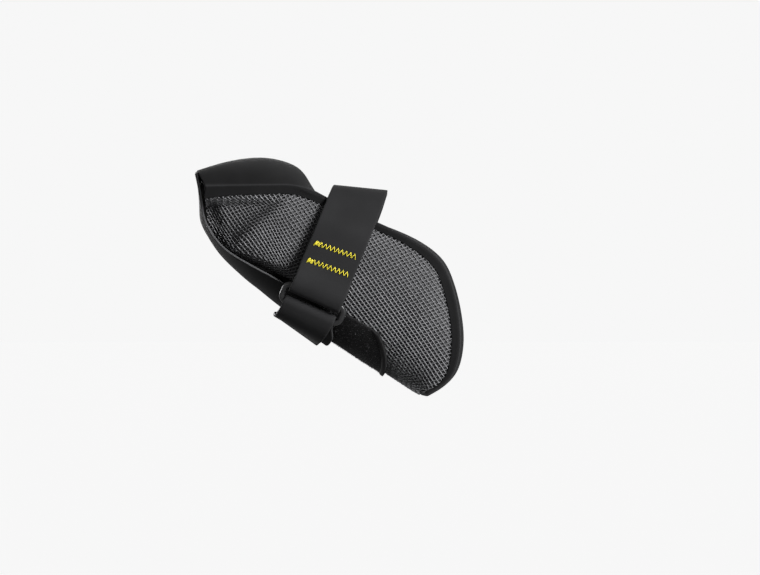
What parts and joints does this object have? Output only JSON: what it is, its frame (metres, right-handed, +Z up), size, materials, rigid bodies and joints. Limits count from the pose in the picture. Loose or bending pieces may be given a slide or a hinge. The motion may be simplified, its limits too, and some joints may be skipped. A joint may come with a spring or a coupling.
{
  "type": "bicycle tool bag",
  "caption": "Small wedge-shaped woven pouch with a black laminate spine and mouth flap, hung under a bicycle saddle by a strap through a ring.",
  "frame": {"origin": "on the underside of the strap's top, midway between the two places where it bears on the rails", "axes": "+X to the front of the bag, +Y to the side away from the ring, +Z up"},
  "size_m": [0.1286, 0.0694, 0.1153],
  "materials": {
    "woven_cloth": "grey open basket weave, matte",
    "black_laminate": "smooth coated cloth, satin",
    "loop_pile": "fuzzy loop pile, matte",
    "strap_webbing": "smooth strap, satin",
    "ring_plastic": "moulded, satin",
    "stitch_thread": "yellow sewing thread"
  },
  "bodies": {
    "root": {"side_shell": "woven_cloth", "spine_band": "black_laminate", "closure_flap": "black_laminate", "loop_patch": "loop_pile", "hanging_strap": "strap_webbing", "strap_ring": "ring_plastic"}
  },
  "joints": []
}
